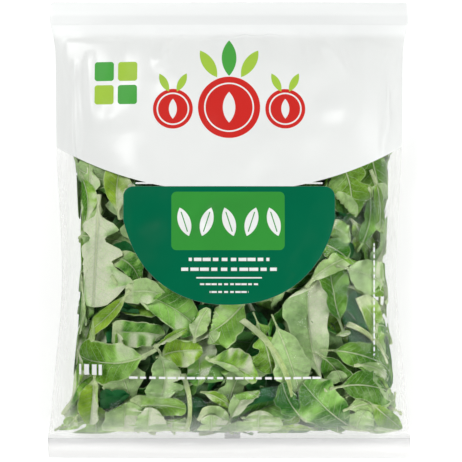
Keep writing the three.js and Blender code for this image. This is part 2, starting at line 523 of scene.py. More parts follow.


# Leaves that show at the front, placed one by one: kind, foot x y, tip x y and width in mm, then
# how pale it is (-1.2 to 2.9), how yellow (0 to 1), and whether its paler underside is up.
frontLeaves = [
    ("broad", 92, 70, 108, 6, 30, -0.8, 0.3, 0),
    ("lobed", -92, 66, -98, 0, 30, 0.6, 0.4, 1),
    ("oval", -100, 40, -94, 8, 16, -0.5, 0.2, 0),
    ("cut", -74, -16, -58, -32, 17, 0.0, 0.1, 0),
    ("broad", -104, -28, -98, -66, 20, 0.5, 0.3, 0),
    # painted shade: this leaf is painted darker, as if it lay in shadow
    ("oval", 60, -6, 84, -20, 18, -0.9, 0.0, 0),
    ("cut", 69, 4, 83, -6, 13, 0.3, 0.3, 0),
    ("oval", 86, 8, 92, -14, 12, 0.1, 0.5, 0),
    ("broad", 101, 40, 107, -12, 14, -0.9, 0.5, 0),
    ("broad", 98, 28, 94, -8, 12, -0.9, 0.2, 0),
    ("oval", 80, -37, 111, -41, 12, -0.2, 0.4, 0),
    ("broad", -80, -32, -20, -60, 38, 0.3, 0.1, 0),
    ("cut", -69, -40, -43, -42, 17, 0.6, 0.2, 1),
    ("lobed", -88, 22, -92, -50, 60, 2.9, 0.0, 1),
    ("oval", -66, -43, -99, -74, 14, 0.2, 1.0, 0),
    ("cut", -78, -68, -44, -70, 22, 0.4, 0.1, 0),
    ("oval", -75, -68, -75, -81, 8, 0.2, 0.3, 0),
    ("oval", -25, -74, -16, -52, 14, 1.3, 0.1, 1),
    ("broad", 16, -46, -18, -75, 30, 0.4, 0.3, 0),
    # painted sheen: this leaf is painted paler for a broad sheen, on top of its own pale tone
    ("broad", 60, -108, 49, -32, 40, 1.9, 0.0, 1),
    ("lobed", 18, -56, 30, -95, 27, 0.5, 0.45, 0),
    ("broad", 30, -58, 48, -107, 25, 0.7, 0.15, 1),
    ("broad", 75, -68, 66, -21, 24, -0.5, 0.2, 0),
    ("oval", 50, -34, 87, -13, 13, 0.8, 0.1, 1),
    ("broad", 74, -23, 114, -38, 28, 0.3, 0.3, 1),
    ("cut", 92, -45, 106, -80, 19, 0.2, 0.6, 0),
    ("stem", 84, -61, 112, -87, 3.8, 0.9, 0.4, 0),
    ("oval", 73, -71, 82, -69, 5, 1.5, 0.3, 1),
    ("broad", 64, -77, 114, -92, 22, -1.0, 0.3, 0),
    ("broad", 62, -80, 83, -109, 24, -1.1, 0.2, 0),
    ("oval", 87, -88, 113, -100, 8, 1.1, 0.3, 1),
    ("oval", 80, -108, 116, -110, 20, -1.2, 0.45, 0),
    ("oval", -15, -85, 19, -98, 25, 0.5, 0.1, 0),
    ("stem", 15, -58, 47, -107, 4.4, 1.0, 0.4, 0),
    ("broad", -50, -88, -103, -92, 31, 0.5, 0.35, 0),
    ("oval", -49, -84, -19, -79, 22, 0.7, 0.75, 0),
    ("oval", -50, -78, -29, -66, 8, 0.6, 0.6, 0),
    ("broad", -44, -79, -43, -116, 29, 0.8, 0.15, 1),
    ("cut", -66, -118, -30, -119, 17, 0.6, 0.7, 0),
    ("oval", -91, -99, -95, -133, 23, 0.55, 0.85, 0),
    ("oval", -103, -127, -117, -142, 13, 0.4, 0.6, 0),
    ("oval", -18, -108, 2, -118, 9, 1.0, 0.5, 0),
    ("broad", -2, -131, 16, -103, 22, 0.7, 0.3, 1),
    ("cut", -18, -122, 2, -131, 15, 0.8, 0.5, 1),
    ("broad", 50, -131, 34, -105, 22, -0.3, 0.0, 0),
    ("cut", -72, -143, -71, -117, 42, 1.0, 0.5, 1),
    ("cut", -40, -142, -38, -125, 26, 0.9, 0.6, 1),
    ("cut", -12, -141, -12, -126, 28, 0.9, 0.6, 1),
    ("cut", 20, -141, 20, -123, 32, 0.9, 0.5, 1),
    ("oval", 60, -140, 36, -137, 10, 0.8, 0.8, 0),
    ("broad", 87, -140, 49, -106, 34, -0.3, 0.1, 0),
    ("oval", 78, -121, 110, -116, 14, 0.4, 0.5, 1),
    ("oval", 96, -117, 121, -139, 18, 0.35, 0.65, 0),
    ("cut", -56, -143, -54, -121, 26, 0.2, 0.4, 1),
    ("cut", 5, -143, 4, -130, 24, 0.3, 0.4, 1),
    ("stem", -27, -98, -26, -140, 3.6, 1.0, 0.4, 0),
    ("broad", 74, 58, 88, 9, 34, -0.6, 0.5, 0),
    ("oval", -78, 9, -73, 55, 22, 0.3, 1.0, 0),
    ("cut", -69, 20, -65, 31, 8, 1.4, 0.1, 1),
    ("oval", -103, -82, -104, -106, 15, 0.6, 0.5, 0),
    ("oval", -104, -36, -105, -70, 11, 0.8, 0.5, 1),
    ("cut", 100, -64, 112, -66, 14, -0.8, 0.1, 0),
    ("broad", 70, -103, 114, -108, 25, -1.1, 0.2, 0),
    ("cut", 86, -142, 90, -123, 24, 0.8, 0.4, 1),
]


# Gaps between them, where leaves painted all in deep shade show as shadowed depths of the pile:
# middle x y, width and height in mm.
paintedShadeGaps = [
    (-77, -113, 22, 17), (87, -54, 22, 26), (93, -72, 24, 18), (-22, -121, 15, 14),
    (-68, -15, 30, 16), (30, -111, 44, 13), (-77, -73, 16, 18), (-72, -54, 22, 10),
    (18, -60, 16, 11), (33, -70, 11, 15), (75, 8, 16, 9), (72, -13, 26, 20),
    (-16, -55, 15, 12), (-64, 30, 24, 12), (-95, 21, 12, 14), (100, -95, 20, 12),
]


def buildPile(front, back, edges):
    rng = np.random.default_rng(pile["seed"])
    models = {}
    for kind, facts in leafKinds.items():
        models[kind] = []
        for index in range(5):
            length = rng.uniform(*facts["length"]) * mm
            width = rng.uniform(*facts["width"]) * mm
            models[kind].append(modelLeaf(kind, length, width, 11 * index + len(kind),
                                          leafBuild["grid"]))
    heights = back + pile["filmGap"]
    room = np.maximum(front - back, 4 * mm)
    kinds = list(leafKinds)
    shares = np.array([leafKinds[k]["share"] for k in kinds])
    placed = []
    bedX, bedY = pile["bed"]
    for index in range(pile["count"]):
        inBed = index < bedX * bedY
        kind = "broad" if inBed else kinds[rng.choice(len(kinds), p=shares / shares.sum())]
        model = models[kind][rng.integers(len(models[kind]))]
        best = None
        for _ in range(1 if inBed else 9):
            heading = rng.uniform(0, 2 * math.pi)
            shareX, shareY = rng.uniform(-1, 1), rng.uniform(0, 1)
            if inBed:
                shareX = (index % bedX + 0.5 + 0.2 * shareX) / bedX * 2 - 1
                shareY = (index // bedX + 0.3 + 0.4 * shareY) / bedY
            centre = (bagHigh.x * 0.84 * shareX, pouchFrom + 14 * mm
                      + (pouchTo - pouchFrom - 40 * mm) * shareY)
            x, y = turnAndPlace(model["flat"][::9, 0], model["flat"][::9, 1]
                                - model["length"] / 2, heading, centre)
            x, y = keepInside(x, y, edges)
            fill = np.mean((readMap(heights, x, y) - readMap(back, x, y)) / readMap(room, x, y))
            if best is None or fill < best[0]:
                best = (fill, heading, centre)
        leaf = dropLeaf(model, heights, edges, rng, best[1], best[2],
                        pile["sag"], rng.uniform() < 0.42)
        leaf["pale"] = float(np.clip(rng.normal(-0.18, 1.0), -1.5, 1.8))
        leaf["yellow"] = float(rng.uniform(0, 1) ** 2.6)
        placed.append(leaf)
    # leaves painted all in deep shade, laid in the gaps before the front leaves
    for index, (x, y, width, height) in enumerate(paintedShadeGaps):
        turned = height > width
        model = modelLeaf("cut", max(width, height) * mm, min(width, height) * mm, 300 + index,
                          leafBuild["grid"])
        leaf = dropLeaf(model, heights, edges, rng, math.pi / 2 * turned, (x * mm, y * mm),
                        0.8, False)
        leaf["pale"], leaf["yellow"], leaf["paintedGapShade"] = -0.6, 0.0, 1.0
        placed.append(leaf)
    for kind, x0, y0, x1, y1, width, pale, yellow, under in frontLeaves:
        foot, tip = np.array([x0, y0]) * mm, np.array([x1, y1]) * mm
        along = tip - foot
        model = modelLeaf(kind, float(np.hypot(*along)) * 1.06, width * mm, len(placed),
                          leafBuild["frontGrid"], 0.4)
        leaf = dropLeaf(model, heights, edges, rng, math.atan2(along[1], along[0]),
                        (foot + tip) / 2, 0.35, bool(under))
        leaf["pale"], leaf["yellow"] = pale, yellow
        placed.append(leaf)
    return placed, fitPile(placed, heights, front, back)


# Fits the pile's height to the room between the back and the front of the film, and returns
# the height map of its top.
def fitPile(placed, heights, front, back):
    top = np.maximum(blurMap(heights, 9 * mm), heights * 0.5 + blurMap(heights, 4 * mm) * 0.5)
    top = blurMap(top, 8 * mm) + 1.5 * mm
    lowest = back + pile["filmGap"]
    ceiling = np.maximum(front - pile["filmGap"], lowest + 2 * mm)
    ratio = (ceiling - lowest) / np.maximum(top - lowest, 3 * mm)
    print("pile: unfitted height", round(float(np.percentile(top - lowest, 90)) / mm, 1),
          "mm, room", round(float(np.percentile(ceiling - lowest, 90)) / mm, 1), "mm")
    topNow = np.full_like(heights, -1.0)
    for leaf in placed:
        low = readMap(lowest, leaf["x"], leaf["y"])
        high = readMap(ceiling, leaf["x"], leaf["y"])
        z = low + (leaf["z"] - low) * readMap(ratio, leaf["x"], leaf["y"])
        over = np.maximum(z - (high - 2 * mm), 0)
        z = np.maximum(np.minimum(z, high - 2 * mm) + 2 * mm * np.tanh(over / (2 * mm)), low)
        # its whole thickness stays below the film, or midway between the walls where they meet
        below = readMap(front, leaf["x"], leaf["y"]) - np.abs(leaf["model"]["offset"][:len(z)])
        middle = readMap((front + back) / 2, leaf["x"], leaf["y"])
        leaf["z"] = np.minimum(z, np.maximum(below - 0.5 * mm, middle))
        leaf["depth"] = float(np.mean(high - leaf["z"]))
        leaf["lift"] = float(np.mean(leaf["z"] - low))
        x, y, z = (leaf[k].reshape(leaf["model"]["grid"]) for k in ("x", "y", "z"))
        raiseMap(topNow, x, y, z)
    return topNow


# What is stored at each point of a leaf for its material to read
# inside carries the painted shade of leaves deep in the pile; pale carries painted slope light and
# shade as well as each leaf's own paleness
leafMarks = ("under", "pale", "yellow", "inside")


# Joins placed leaves of one kind into one mesh, with a UV map across and along each leaf.
def joinLeaves(name, leaves, material):
    points, faces, uvs, marks = [], [], [], []
    start = 0
    for leaf in leaves:
        model = leaf["model"]
        middle = np.stack([leaf["x"], leaf["y"], leaf["z"]], axis=1)
        cross = facingOf(middle, model["grid"])
        size = np.linalg.norm(cross, axis=1, keepdims=True)
        normal = np.where(size > 1e-12, cross / np.maximum(size, 1e-12), [0, 0, 1])
        count = len(middle)
        # the two faces of a leaf are the same grid, one after the other
        twin = np.concatenate([np.arange(count), np.arange(count)])
        points.append(middle[twin] + normal[twin] * model["offset"][:, None])
        faces.append(model["faces"] + start)
        start += 2 * count
        uvs.append(np.stack([(model["across"][twin] + 1) / 2, model["place"][twin]], axis=1))
        under = 1 - model["under"] if leaf["flip"] else model["under"]
        # painted shade: leaves lying deep in the pile, under others, are marked to be painted
        # darker
        inside = softStep(5 * mm, 15 * mm, np.full(2 * count, min(leaf["depth"], leaf["lift"])))
        inside = np.maximum(inside * 0.75, leaf["paintedGapShade"])
        marks.append(np.stack([under, leaf["pale"] + leaf["tone"][twin],
                               np.full(2 * count, leaf["yellow"]), inside], axis=1))
    points, faces = np.concatenate(points), np.concatenate(faces)
    uvs, marks = np.concatenate(uvs), np.concatenate(marks)
    mesh = bpy.data.meshes.new(name)
    mesh.from_pydata(points.tolist(), [], faces.tolist())
    mesh.update()
    uvMap = mesh.uv_layers.new(name="leafMap")
    uvMap.data.foreach_set("uv", uvs[faces.ravel()].astype(np.float32).ravel())
    for index, key in enumerate(leafMarks):
        attribute = mesh.attributes.new(key, "FLOAT", "POINT")
        attribute.data.foreach_set("value", marks[:, index].astype(np.float32))
    piece = addObject(name, mesh)
    inEditMode(piece, bpy.ops.mesh.normals_make_consistent, inside=False)
    bpy.ops.object.shade_smooth_by_angle(angle=math.radians(60))
    mesh.materials.append(material)
    return piece


# Materials

def setInput(socket, value):
    if isinstance(value, bpy.types.NodeSocket):
        socket.id_data.links.new(value, socket)
    else:
        socket.default_value = value


def makeNode(tree, kind, inputs=(), **settings):
    node = tree.nodes.new("ShaderNode" + kind)
    for key, value in settings.items():
        setattr(node, key, value)
    for key, value in dict(inputs).items():
        setInput(node.inputs[key], value)
    return node


# The functions below put a node into the tree that the sockets they are given belong to.
def treeOf(*values):
    return next(value for value in values if isinstance(value, bpy.types.NodeSocket)).id_data


def maths(operation, *values, clamp=False):
    return makeNode(treeOf(*values), "Math", enumerate(values), operation=operation,
                    use_clamp=clamp).outputs[0]


def plus(a, b):
    return maths("ADD", a, b)


def minus(a, b):
    return maths("SUBTRACT", a, b)


def times(a, b):
    return maths("MULTIPLY", a, b)


def scaled(value, factor, shift):
    return maths("MULTIPLY_ADD", value, factor, shift)


def larger(a, b, clamp=False):
    return maths("MAXIMUM", a, b, clamp=clamp)


def unsigned(value):
    return maths("ABSOLUTE", value)


def lengthOf(a, b):
    return maths("SQRT", plus(times(a, a), times(b, b)))


def ramp(value, low, high, toLow=0.0, toHigh=1.0):
    parts = {"Value": value, "From Min": low, "From Max": high, "To Min": toLow, "To Max": toHigh}
    return makeNode(treeOf(*parts.values()), "MapRange", parts,
                    interpolation_type="SMOOTHSTEP").outputs["Result"]


def mixColour(factor, first, second, blend="MIX"):
    parts = {"Factor": factor, "A": first, "B": second}
    return makeNode(treeOf(*parts.values()), "Mix", parts, data_type="RGBA",
                    blend_type=blend).outputs["Result"]


def noise(point, scale, detail=2.0, roughness=0.5):
    parts = {"Vector": point, "Scale": scale, "Detail": detail, "Roughness": roughness}
    return makeNode(treeOf(point), "TexNoise", parts).outputs["Fac"]


def stretched(point, *scale):
    return makeNode(treeOf(point), "Mapping", {"Vector": point, "Scale": scale}).outputs["Vector"]


def splitPoint(point):
    return makeNode(treeOf(point), "SeparateXYZ", {0: point}).outputs[:]


def bumpNode(height, strength):
    parts = {"Height": height, "Strength": strength, "Distance": 0.5 * mm}
    return makeNode(treeOf(height), "Bump", parts).outputs["Normal"]


def mixShader(factor, first, second):
    parts = {0: factor, 1: first.outputs[0], 2: second.outputs[0]}
    return makeNode(first.id_data, "MixShader", parts)


# A node group. A socket's kind follows from the value given with it, None being for a point,
# and an input has that value as its default.
def newGroup(name, inputs, outputs):
    kinds = {type(None): "NodeSocketVector", float: "NodeSocketFloat", tuple: "NodeSocketColor"}
    group = bpy.data.node_groups.new(name, "ShaderNodeTree")
    for key, value in inputs.items():
        kind = kinds[type(value)]
        socket = group.interface.new_socket(name=key, in_out="INPUT", socket_type=kind)
        if value is not None:
            socket.default_value = value
    for key, value in outputs.items():
        kind = kinds[type(value)]
        group.interface.new_socket(name=key, in_out="OUTPUT", socket_type=kind)
    ins, outs = group.nodes.new("NodeGroupInput"), group.nodes.new("NodeGroupOutput")
    return group, ins.outputs, outs.inputs


def useGroup(tree, group, **values):
    return makeNode(tree, "Group", values, node_tree=group).outputs


def newMaterial(name):
    material = bpy.data.materials.new(name)
    material.use_nodes = True
    material.node_tree.nodes.clear()
    return material, material.node_tree


def putSurface(tree, shader):
    makeNode(tree, "OutputMaterial", {"Surface": shader.outputs[0]})


def linear(red, green, blue):
    parts = [c / 255 for c in (red, green, blue)]
    return tuple(c / 12.92 if c <= 0.04045 else ((c + 0.055) / 1.055) ** 2.4 for c in parts) + (1,)


white, black = (1, 1, 1, 1), (0, 0, 0, 1)


# The print's shapes are masks in the plane of the bag, so each edge is crisp at any size.
inkEdge = 0.12 * mm


def newShape(name, *sizes):
    inputs = {"point": None, "x": 0.0, "y": 0.0, "turn": 0.0, **{key: 0.01 for key in sizes}}
    return newGroup(name, inputs, {"mask": 0.0})


def endShape(group, outs, away):
    setInput(outs["mask"], ramp(away, inkEdge, -inkEdge))
    return group


def localPoint(ins):
    x, y, _ = splitPoint(ins["point"])
    dx, dy = minus(x, ins["x"]), minus(y, ins["y"])
    cos, sin = maths("COSINE", ins["turn"]), maths("SINE", ins["turn"])
    return plus(times(dx, cos), times(dy, sin)), minus(times(dy, cos), times(dx, sin))


def boxShape():
    group, ins, outs = newShape("rounded box print", "halfLength", "halfHeight", "corner")
    along, up = localPoint(ins)
    outX = minus(unsigned(along), minus(ins["halfLength"], ins["corner"]))
    outY = minus(unsigned(up), minus(ins["halfHeight"], ins["corner"]))
    inside = maths("MINIMUM", larger(outX, outY), 0.0)
    away = plus(lengthOf(larger(outX, 0.0), larger(outY, 0.0)), inside)
    return endShape(group, outs, minus(away, ins["corner"]))


# A pointed oval: where two equal circles overlap.
def leafShape():
    group, ins, outs = newShape("leaf print", "halfLength", "halfWidth")
    along, up = localPoint(ins)
    half, width = ins["halfLength"], ins["halfWidth"]
    radius = maths("DIVIDE", plus(times(half, half), times(width, width)), times(width, 2.0))
    off = plus(unsigned(up), minus(radius, width))
    return endShape(group, outs, minus(lengthOf(along, off), radius))


def ringShape():
    group, ins, outs = newShape("ring print", "radius", "halfLine")
    away = minus(lengthOf(*localPoint(ins)), ins["radius"])
    return endShape(group, outs, minus(unsigned(away), ins["halfLine"]))


# A row of plain dashes of uneven length.
def dashShape():
    group, ins, outs = newShape("dash row print", "halfLength", "halfHeight", "pitch")
    along, up = localPoint(ins)
    cell = maths("DIVIDE", along, ins["pitch"])
    # a number from 0 to 1 that differs from dash to dash
    random = maths("FRACT", times(maths("SINE", times(maths("FLOOR", cell), 12.99)), 437.6))
    half = plus(times(random, 0.16), 0.3)
    dash = times(minus(unsigned(minus(maths("FRACT", cell), 0.5)), half), ins["pitch"])
    tall = minus(unsigned(up), ins["halfHeight"])
    wide = minus(unsigned(along), ins["halfLength"])
    return endShape(group, outs, larger(larger(dash, tall), wide))


printLook = {
    "white": linear(235, 237, 235),
    "darkGreen": linear(0, 101, 68),
    "midGreen": linear(54, 146, 58),
    "red": linear(205, 45, 40),
    "leafGreen": linear(76, 165, 70),
    "lime": linear(164, 200, 72),
    "headRadius": 238 * mm,  # the white head's lower edge is an arc that hangs lowest midway
    "headLowest": 25.5 * mm,
    "panelTop": 29.5 * mm,
    "panelHalf": 71.3 * mm,
    "panelDepth": 79.5 * mm,
    "panelPower": 2.2,  # 2 would be half an ellipse, more is squarer
    "panelCorner": 7 * mm,
    "backHeadLowest": 60 * mm,
}


# The front's print: a white head, a dark green panel, three red discs under plain leaves, four
# tiles, and plain bars and dashes.
def frontPrint():
    group, ins, outs = newGroup("front print", {"point": None}, {"ink": 0.0, "colour": black})
    point = ins["point"]
    pointX, pointY, _ = splitPoint(point)
    box, leaf, ring, dash = boxShape(), leafShape(), ringShape(), dashShape()
    radius = printLook["headRadius"]
    head = lengthOf(pointX, minus(pointY, printLook["headLowest"] + radius))
    state = {"ink": ramp(minus(head, radius), inkEdge, -inkEdge), "colour": printLook["white"]}

    def lay(mask, shade):
        state["ink"] = larger(state["ink"], mask)
        state["colour"] = mixColour(mask, state["colour"], printLook[shade])

    # places and sizes in millimetres, turn in degrees
    def stamp(shape, shade, x, y, turn=0, **sizes):
        values = {key: value * mm for key, value in {"x": x, "y": y, **sizes}.items()}
        lay(useGroup(group, shape, point=point, turn=math.radians(turn), **values)["mask"], shade)

    # dark green panel: a flat top with small corners, a full round foot, white line above
    stamp(box, "white", 0, 31.6, halfLength=63, halfHeight=0.55, corner=0.5)
    top, half, power = printLook["panelTop"], printLook["panelHalf"], printLook["panelPower"]
    wide = maths("POWER", maths("DIVIDE", unsigned(pointX), half + 2 * mm), power)
    deep = maths("DIVIDE", unsigned(minus(pointY, top)), printLook["panelDepth"])
    bowed = ramp(plus(wide, maths("POWER", deep, power)), 1.003, 0.997)
    slab = useGroup(group, box, point=point, y=top - 40 * mm, halfLength=half,
                    halfHeight=40 * mm, corner=printLook["panelCorner"])["mask"]
    lay(times(bowed, slab), "darkGreen")

    # mid green block with a row of plain white leaves
    stamp(box, "midGreen", -0.7, 6.2, halfLength=38, halfHeight=19.6, corner=3.5)
    for index in range(5):
        lean = 72 if index % 2 else 108
        x, y = -30 + 15 * index, 5.6
        stamp(leaf, "white", x, y, lean, halfLength=10, halfWidth=4.2)
        stamp(box, "midGreen", x, y, lean, halfLength=7, halfHeight=0.35, corner=0.3)

    # bars and dashes: middle x y, turn, half length and height, and pitch
    stamp(box, "white", 0, -31.9, halfLength=22, halfHeight=0.45, corner=0.4)
    for x, y, turn, half, height, pitch in (
            (0, -19.6, 0, 27, 1.1, 6), (0, -26.2, 0, 33, 1.1, 6.6), (0, -36.2, 0, 20, 0.6, 4),
            (0, -41.4, 0, 13, 0.6, 4), (-94, -94.5, 0, 8, 3.6, 5.4),
            (-2.8, -99.5, 0, 65, 0.8, 6.5), (98.5, -47, 90, 38, 0.5, 4.5)):
        stamp(dash, "white", x, y, turn, halfLength=half, halfHeight=height, pitch=pitch)

    # emblem: three red discs with plain leaves over them
    for x, y, radius in ((-38, 82, 13.5), (38, 82, 13.5), (0, 83, 21)):
        stamp(ring, "red", x, y, radius=0, halfLine=radius)
        stamp(ring, "white", x, y, radius=radius * 0.78, halfLine=0.5)
        stamp(leaf, "white", x, y, 90, halfLength=radius / 2, halfWidth=radius / 5)
    for x, y, lean, half in ((-14, 113, 122, 11), (14, 113, 58, 11), (-44, 100, 118, 7),
                             (-32, 100, 62, 7), (32, 100, 118, 7), (44, 100, 62, 7)):
        stamp(leaf, "lime", x, y, lean, halfLength=half, halfWidth=half * 0.36)
    stamp(leaf, "leafGreen", 0, 117, 90, halfLength=12.5, halfWidth=5)

    # four tiles
    for x, y, shade in ((-85, 108, "leafGreen"), (-69, 108, "lime"), (-85, 92, "lime"),
                        (-69, 92, "leafGreen")):
        stamp(box, shade, x, y, halfLength=6.6, halfHeight=6.6, corner=2)
    for key, value in state.items():
        setInput(outs[key], value)
    return group


# The back has a plain white head across the same height, with a straight lower edge.
def backPrint():
    group, ins, outs = newGroup("back print", {"point": None}, {"ink": 0.0, "colour": black})
    _, y, _ = splitPoint(ins["point"])
    edge = printLook["backHeadLowest"]
    ink = ramp(y, edge - inkEdge, edge + inkEdge)
    # white all over, as only the ink's own place shows it
    setInput(outs["ink"], ink)
    setInput(outs["colour"], mixColour(ink, printLook["white"], printLook["white"]))
    return group


filmFinish = {
    "clear": (0.986, 0.987, 0.985, 1),
    "milk": (0.97, 0.97, 0.96, 1),
    "gloss": 0.008,  # share of light that the film mirrors, seen square on
    "edgeGloss": 0.65,  # and seen edge on
    "edgePower": 4.5,
    "roughness": 0.1,
    "haze": 0.0005,
    "seamHaze": 0.3,
    "sealHaze": 0.8,
    "footHazeAndPaintedSheen": 0.27,  # beside the bottom seal: milky film with a painted sheen of the light on its slope
    "flankHazeAndPaintedSheen": 0.2,
    "flankFrom": 100 * mm,  # how far out the flanks begin to be milky
    "flankFull": 112 * mm,
    "milkRoughness": 0.4,
    "inkCover": 0.985,
    "inkRoughness": 0.42,
    "inkSpecular": 0.05,
    "coatRoughness": 0.34,
    "whiteCoat": 0.6,  # how shiny white ink is
    "bump": 0.5,
    "paintedSealLight": (1.14, 1.14, 1.15, 1),  # painted light: how much brighter the top seal and the film just below it are painted
    "paintedSealShade": (0.77, 0.77, 0.78, 1),  # painted shade along the seals' inner edges
    "topPaintedShade": 0.21,  # how much of it the top seal has
    "footPaintedLight": 0.1,  # how much of the painted light the bottom seal has
}


# How milky the bare film is, and the fine wrinkles of its surface.
def filmSkin():
    group, ins, outs = newGroup("film skin", {"point": None, "haze": 0.03},
                                {"haze": 0.0, "height": 0.0, "tone": black})
    point, look = ins["point"], filmFinish
    x, y, _ = splitPoint(point)
    outwards = unsigned(x)
    # milky film beside the bottom seal and down the flanks, partly a painted sheen of the light on
    # the sloping film, in streaks on the flanks
    foot = ramp(y, pouchFrom + 24 * mm, pouchFrom + 2 * mm, 0.0, look["footHazeAndPaintedSheen"])
    flank = ramp(outwards, look["flankFrom"], look["flankFull"], 0.0, look["flankHazeAndPaintedSheen"])
    streak = noise(stretched(point, 1, 0.2, 1), 130)
    flank = times(flank, ramp(streak, .35, .65, .5, 1.3))
    footStrip = ramp(y, pouchFrom + 0.6 * mm, pouchFrom)
    strip = larger(footStrip, ramp(y, pouchTo - 0.6 * mm, pouchTo))
    haze = times(ins["haze"], ramp(noise(point, 22, 3), .3, .75, .5, 1.6))
    haze = plus(haze, larger(foot, flank))
    setInput(outs["haze"], larger(haze, times(strip, look["sealHaze"]), clamp=True))
    # painted shade: the seal strips are darker along their inner edges
    topBand = times(ramp(y, pouchTo + 8 * mm, pouchTo + 5 * mm),
                    ramp(y, pouchTo - 0.5 * mm, pouchTo))
    footBand = times(ramp(y, pouchFrom - 6 * mm, pouchFrom - 1 * mm),
                     ramp(y, pouchFrom + 5 * mm, pouchFrom + 1 * mm))
    paintedSealShade = larger(times(topBand, look["topPaintedShade"]), footBand)
    # painted light: the top seal, the film just below it and a little of the bottom seal are
    # painted brighter
    nearTop = ramp(y, pouchTo - 11 * mm, pouchTo - 5 * mm)
    tone = mixColour(larger(nearTop, times(footStrip, look["footPaintedLight"])), white, look["paintedSealLight"])
    setInput(outs["tone"], mixColour(paintedSealShade, tone, look["paintedSealShade"]))
    lengthwise = noise(stretched(point, 1, 0.18, 1), 210, 3, 0.6)
    fine = times(lengthwise, ramp(outwards, 90 * mm, 112 * mm, .15, 1))
    height = plus(fine, times(noise(point, 60), 0.8))
    setInput(outs["height"], times(height, minus(1.0, strip)))
    return group


def filmMaterial(name, printGroup, skinGroup, haze):
    material, tree = newMaterial(name)
    look = filmFinish
    point = makeNode(tree, "TexCoord").outputs["Object"]
    artwork = useGroup(tree, printGroup, point=point)
    skin = useGroup(tree, skinGroup, point=point, haze=haze)
    normal = bumpNode(skin["height"], look["bump"])
    # white ink shines at the creases, the dark panel stays even
    brightness = makeNode(tree, "RGBToBW", {0: artwork["colour"]}).outputs[0]
    clear = makeNode(tree, "BsdfTransparent", {"Color": look["clear"]})
    # the skin's tone carries the painted light and shade of the seals
    milk = makeNode(tree, "BsdfPrincipled", {
        "Base Color": mixColour(1.0, look["milk"], skin["tone"], "MULTIPLY"),
        "Roughness": look["milkRoughness"], "Specular IOR Level": 0.0, "Normal": normal,
    })
    ink = makeNode(tree, "BsdfPrincipled", {
        "Base Color": mixColour(1.0, artwork["colour"], skin["tone"], "MULTIPLY"),
        "Roughness": look["inkRoughness"], "Specular IOR Level": look["inkSpecular"],
        "Coat Weight": ramp(brightness, 0.6, 0.8, 0.0, look["whiteCoat"]),
        "Coat Roughness": look["coatRoughness"], "Normal": normal,
    })
    gloss = makeNode(tree, "BsdfGlossy", {"Roughness": look["roughness"], "Normal": normal})
    facing = makeNode(tree, "LayerWeight", {"Blend": 0.5}).outputs["Facing"]
    square = times(scaled(artwork["ink"], -0.9, 1.0), look["gloss"])
    mirror = scaled(maths("POWER", facing, look["edgePower"]), look["edgeGloss"], square)
    body = mixShader(skin["haze"], clear, milk)
    inked = mixShader(times(artwork["ink"], look["inkCover"]), body, ink)
    putSurface(tree, mixShader(mirror, inked, gloss))
    return material


leafFinish = {
    "upper": linear(8, 108, 14),
    "light": linear(188, 250, 130),
    "under": linear(222, 246, 186),
    "palest": linear(248, 252, 226),
    "young": linear(176, 212, 56),
    "rib": linear(236, 246, 200),
    "shade": linear(4, 88, 16),
    # painted shade for leaves deep in the pile
    "deep": linear(2, 104, 50),
}
leafLook = {
    "stem": linear(196, 214, 144),
    "roughness": 0.46,
    "specular": 0.16,
    "through": 0.27,  # share of light that shines through a leaf
    "bump": 0.8,
    "branches": 11.0,  # side veins along a leaf
    "netScale": 420,  # of the finest veins
    "veinShow": 0.75,
    "netShow": 0.24,
    "underShow": 0.6,
    "paintedDepthShade": 0.93,  # painted shade: how dark leaves deep in the pile are painted
}


